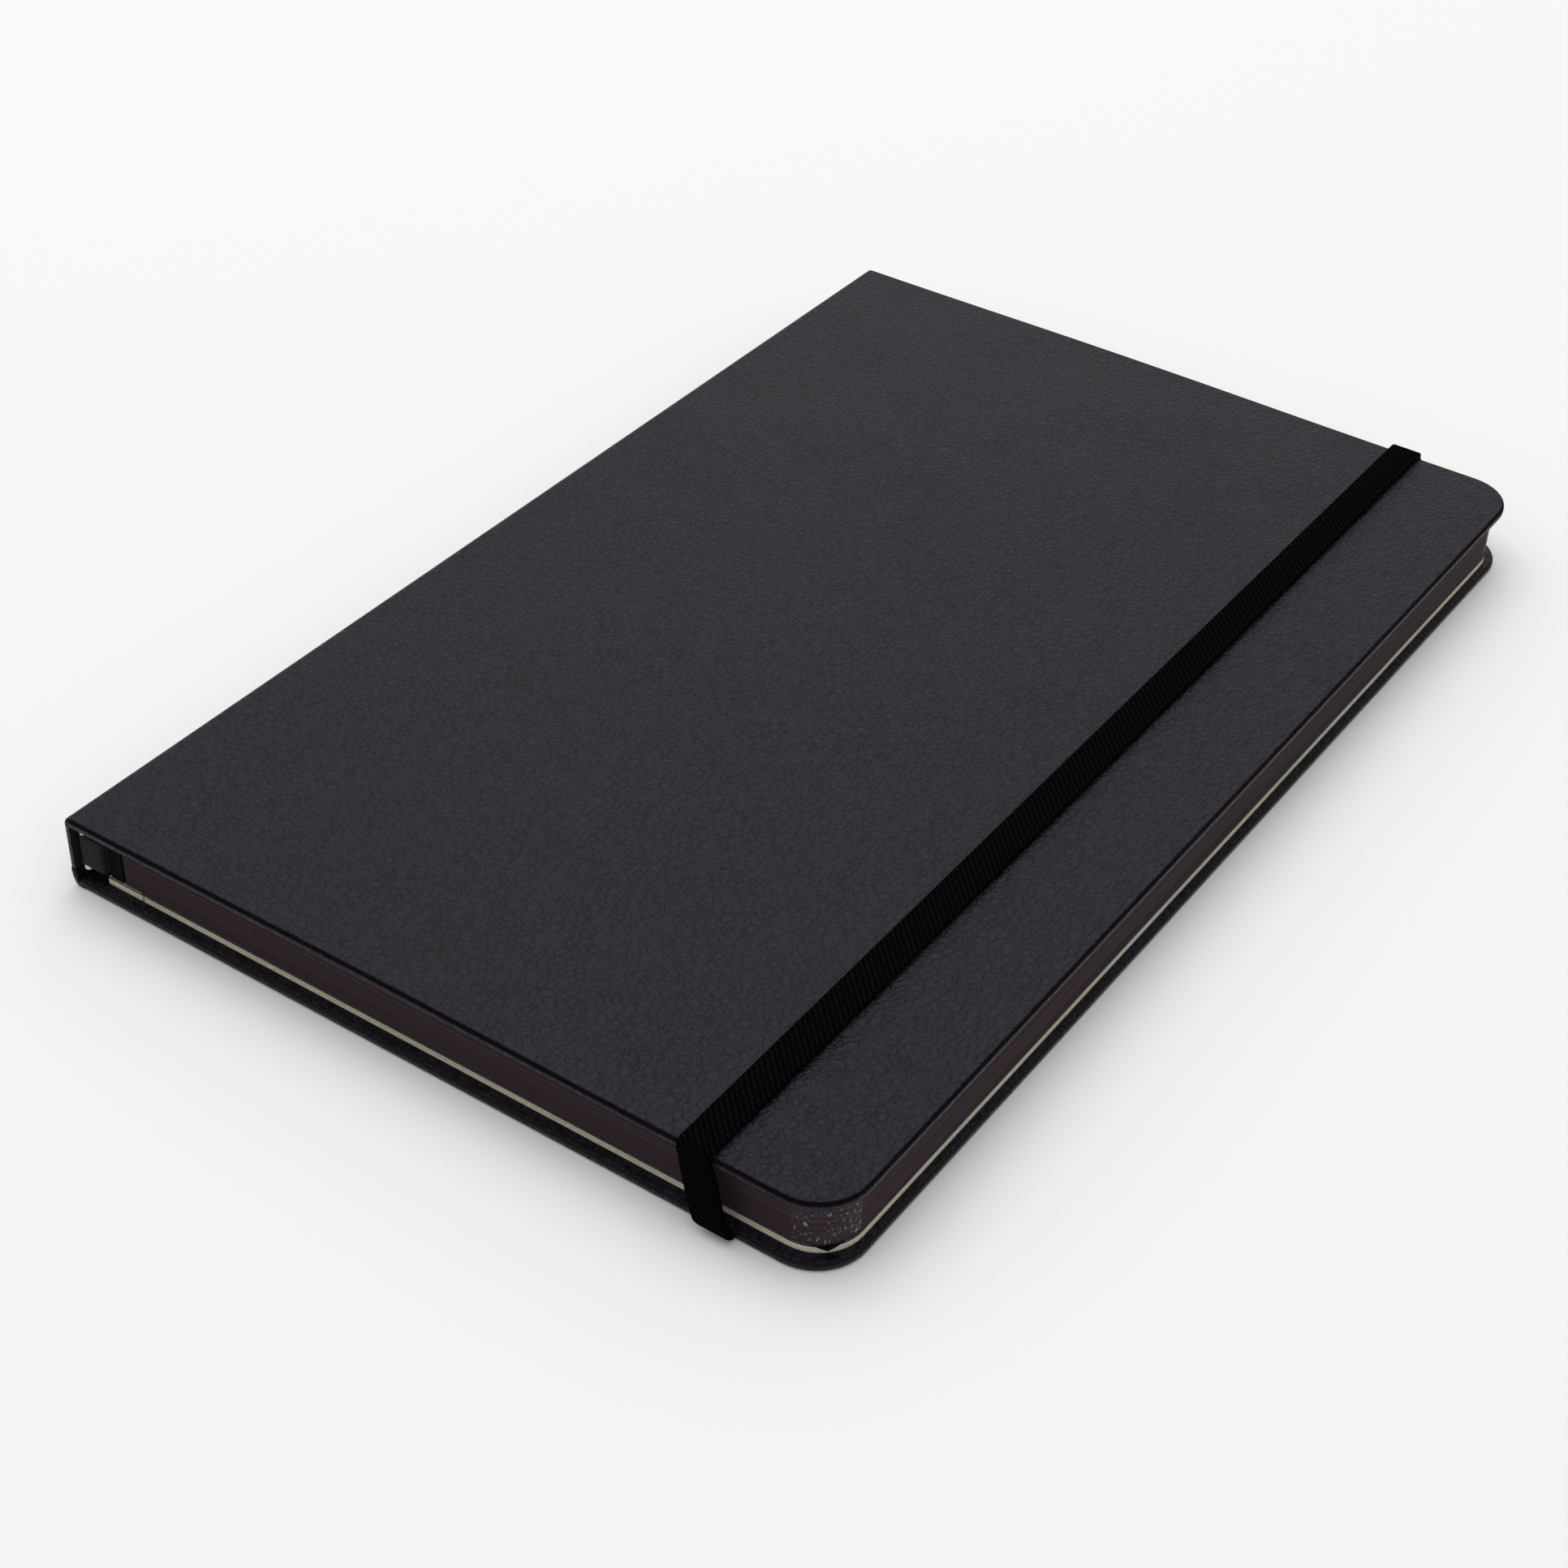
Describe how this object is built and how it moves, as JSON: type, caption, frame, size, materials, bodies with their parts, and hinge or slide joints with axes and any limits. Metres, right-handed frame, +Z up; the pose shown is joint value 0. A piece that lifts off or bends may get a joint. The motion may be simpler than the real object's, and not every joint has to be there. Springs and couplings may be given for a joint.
{
  "type": "hardcover sketchbook",
  "caption": "Hardcover sketchbook with black pebbled covers, dyed page edges, back pocket and an elastic closure band.",
  "frame": {"origin": "under the middle of the closed book, on the table", "axes": "+X from the spine to the fore-edge, +Y along the spine from tail to head, +Z up out of the front cover"},
  "size_m": [0.134, 0.2118, 0.0134],
  "materials": {
    "board": "dense grey bookbinding board, uncoated",
    "black_card": "black card spine strip, matte",
    "leatherette": "black pebble-grain leatherette, satin",
    "black_endpaper": "plain black endpaper, matte",
    "dyed_pages": "drawing paper with dark dyed edges, matte",
    "thread": "waxed sewing thread",
    "spine_cloth": "black spine cloth, fine weave",
    "end_band": "woven dark grey band cloth",
    "grey_lining": "grey paper spine lining",
    "cream_card": "cream pocket card, uncoated",
    "elastic": "black knitted elastic, matte"
  },
  "bodies": {
    "back_cover": {"back_board": "board", "back_skin": "leatherette", "back_pastedown": "black_endpaper", "pocket_backing": "cream_card", "pocket_gusset_tail": "cream_card", "pocket_gusset_head": "cream_card", "pocket_guard": "cream_card", "elastic_end_tail": "elastic", "elastic_end_head": "elastic"},
    "text_block": {"section_6": "dyed_pages", "back_fold": "leatherette", "back_flyleaf": "black_endpaper", "sewing_thread": "thread", "spine_cloth": "spine_cloth", "tailband": "end_band", "headband": "end_band", "tailband_cord": "thread", "headband_cord": "thread", "spine_lining": "grey_lining"},
    "spine": {"spine_board": "black_card", "spine_skin": "leatherette", "front_fold": "leatherette"},
    "front_cover": {"front_board": "board", "front_skin": "leatherette", "front_pastedown": "black_endpaper"},
    "front_flyleaf": {"front_flyleaf": "black_endpaper"},
    "pocket_panel": {"pocket_panel": "cream_card"},
    "elastic_band": {"elastic_band": "elastic"},
    "section_1": {"section_1": "dyed_pages"},
    "section_2": {"section_2": "dyed_pages"},
    "section_3": {"section_3": "dyed_pages"},
    "section_4": {"section_4": "dyed_pages"},
    "section_5": {"section_5": "dyed_pages"}
  },
  "joints": [
    {"name": "back_opening", "type": "hinge", "parent": "back_cover", "child": "text_block", "pos_m": [-0.0655, 0, 0.0015], "axis": [0, -1, 0], "range_deg": [0, 90]},
    {"name": "spine_flex", "type": "hinge", "parent": "text_block", "child": "spine", "pos_m": [-0.0655, 0, 0.0015], "axis": [0, -1, 0], "range_deg": [0, 90], "deforming": ["back_fold"]},
    {"name": "front_opening", "type": "hinge", "parent": "spine", "child": "front_cover", "pos_m": [-0.0658, 0, 0.01121], "axis": [0, -1, 0], "range_deg": [0, 90], "deforming": ["front_fold"]},
    {"name": "front_flyleaf_turn", "type": "hinge", "parent": "text_block", "child": "front_flyleaf", "pos_m": [-0.0577, 0, 0.00687], "axis": [0, -1, 0], "range_deg": [0, 176.8]},
    {"name": "section_1_turn", "type": "hinge", "parent": "text_block", "child": "section_1", "pos_m": [-0.0577, 0, 0.00687], "axis": [0, -1, 0], "range_deg": [0, 174.1]},
    {"name": "section_2_turn", "type": "hinge", "parent": "text_block", "child": "section_2", "pos_m": [-0.0577, 0, 0.00687], "axis": [0, -1, 0], "range_deg": [0, 171.4]},
    {"name": "section_3_turn", "type": "hinge", "parent": "text_block", "child": "section_3", "pos_m": [-0.0577, 0, 0.00687], "axis": [0, -1, 0], "range_deg": [0, 168.7], "deforming": ["sewing_thread", "spine_cloth", "tailband", "headband", "tailband_cord", "headband_cord", "spine_lining"]},
    {"name": "section_4_turn", "type": "hinge", "parent": "text_block", "child": "section_4", "pos_m": [-0.0577, 0, 0.00684], "axis": [0, -1, 0], "range_deg": [0, 11.2]},
    {"name": "section_5_turn", "type": "hinge", "parent": "text_block", "child": "section_5", "pos_m": [-0.0577, 0, 0.00556], "axis": [0, -1, 0], "range_deg": [0, 5.8]},
    {"name": "pocket_opening", "type": "hinge", "parent": "back_cover", "child": "pocket_panel", "pos_m": [0.0657, 0, 0.0023], "axis": [0, 1, 0], "range_deg": [0, 7.5], "deforming": ["pocket_gusset_tail", "pocket_gusset_head"]},
    {"name": "elastic_release", "type": "hinge", "parent": "back_cover", "child": "elastic_band", "pos_m": [0.0492, 0, 0.00045], "axis": [0, 1, 0], "range_deg": [0, 180.5], "deforming": ["elastic_band"]}
  ],
  "couplings": [
    {"joint": "spine_flex", "follows": "front_opening", "ratio": 1},
    {"joint": "front_flyleaf_turn", "follows": "front_opening", "ratio": 1.96},
    {"joint": "section_1_turn", "follows": "front_opening", "ratio": 1.93},
    {"joint": "section_2_turn", "follows": "front_opening", "ratio": 1.9},
    {"joint": "section_3_turn", "follows": "front_opening", "ratio": 1.87},
    {"joint": "section_4_turn", "follows": "front_opening", "ratio": 0.12},
    {"joint": "section_5_turn", "follows": "front_opening", "ratio": 0.06},
    {"joint": "pocket_opening", "follows": "back_opening", "ratio": 0.07},
    {"joint": "elastic_release", "follows": "front_opening", "ratio": 2}
  ]
}
